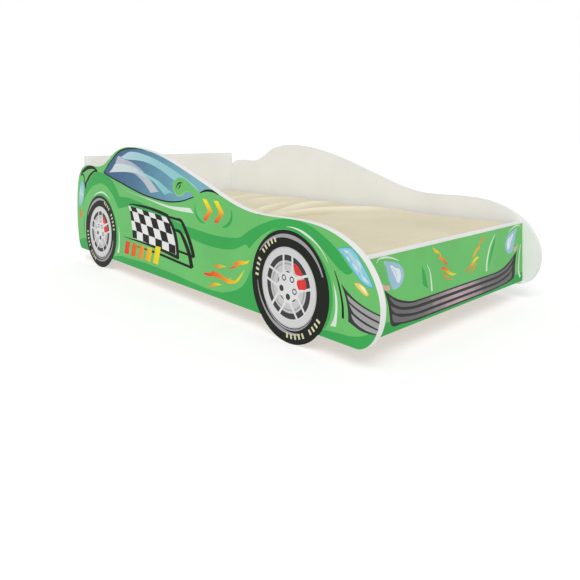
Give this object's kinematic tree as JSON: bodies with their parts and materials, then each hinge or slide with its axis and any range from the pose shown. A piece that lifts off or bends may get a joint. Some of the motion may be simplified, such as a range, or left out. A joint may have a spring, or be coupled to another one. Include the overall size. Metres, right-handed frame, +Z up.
{
  "type": "toddler bed",
  "caption": "Low toddler bed with flat board sides cut and printed as a racing car, a plain headboard, a low printed footboard, a slatted base and a loose mattress.",
  "frame": {"origin": "on the floor, under the middle of the bed's overall length and width", "axes": "+X along the bed to the car's nose and the footboard, +Y to the car's left side, +Z up"},
  "size_m": [1.515, 0.756, 0.447],
  "materials": {
    "printed_board": "satin print over laminated board, white edge band",
    "white_board": "satin white laminated board",
    "pine": "planed, unfinished pine",
    "beech": "bare beech",
    "steel": "zinc-plated steel",
    "zinc": "die-cast zinc",
    "cap_plastic": "white moulded plastic",
    "tape_weave": "woven cotton tape",
    "cream_cover": "cream cotton mattress cover"
  },
  "bodies": {
    "bed_frame": {"right_side_panel": "printed_board", "left_side_panel": "printed_board", "headboard": "white_board", "footboard": "printed_board", "cam_headboard_right_lower": "zinc", "cam_bolt_headboard_right_lower": "steel", "cam_cap_headboard_right_lower": "cap_plastic", "dowel_headboard_right_lower": "beech", "cam_headboard_right_upper": "zinc", "cam_bolt_headboard_right_upper": "steel", "cam_cap_headboard_right_upper": "cap_plastic", "dowel_headboard_right_upper": "beech", "cam_headboard_left_lower": "zinc", "cam_bolt_headboard_left_lower": "steel", "cam_cap_headboard_left_lower": "cap_plastic", "dowel_headboard_left_lower": "beech", "cam_headboard_left_upper": "zinc", "cam_bolt_headboard_left_upper": "steel", "cam_cap_headboard_left_upper": "cap_plastic", "dowel_headboard_left_upper": "beech", "cam_footboard_right_lower": "zinc", "cam_bolt_footboard_right_lower": "steel", "cam_cap_footboard_right_lower": "cap_plastic", "dowel_footboard_right_lower": "beech", "cam_footboard_right_upper": "zinc", "cam_bolt_footboard_right_upper": "steel", "cam_cap_footboard_right_upper": "cap_plastic", "dowel_footboard_right_upper": "beech", "cam_footboard_left_lower": "zinc", "cam_bolt_footboard_left_lower": "steel", "cam_cap_footboard_left_lower": "cap_plastic", "dowel_footboard_left_lower": "beech", "cam_footboard_left_upper": "zinc", "cam_bolt_footboard_left_upper": "steel", "cam_cap_footboard_left_upper": "cap_plastic", "dowel_footboard_left_upper": "beech", "right_bearer": "pine", "bearer_screw_right_1": "steel", "bearer_screw_right_2": "steel", "bearer_screw_right_3": "steel", "bearer_screw_right_4": "steel", "left_bearer": "pine", "bearer_screw_left_1": "steel", "bearer_screw_left_2": "steel", "bearer_screw_left_3": "steel", "bearer_screw_left_4": "steel", "slat_01": "pine", "slat_02": "pine", "slat_03": "pine", "slat_04": "pine", "slat_05": "pine", "slat_06": "pine", "slat_07": "pine", "slat_08": "pine", "slat_09": "pine", "slat_10": "pine", "right_slat_tape": "tape_weave", "left_slat_tape": "tape_weave"},
    "mattress": {"mattress": "cream_cover"}
  },
  "joints": [
    {"name": "mattress_lift", "type": "slide", "parent": "bed_frame", "child": "mattress", "axis": [0, 0, 1], "range_m": [0, 0.31]}
  ]
}
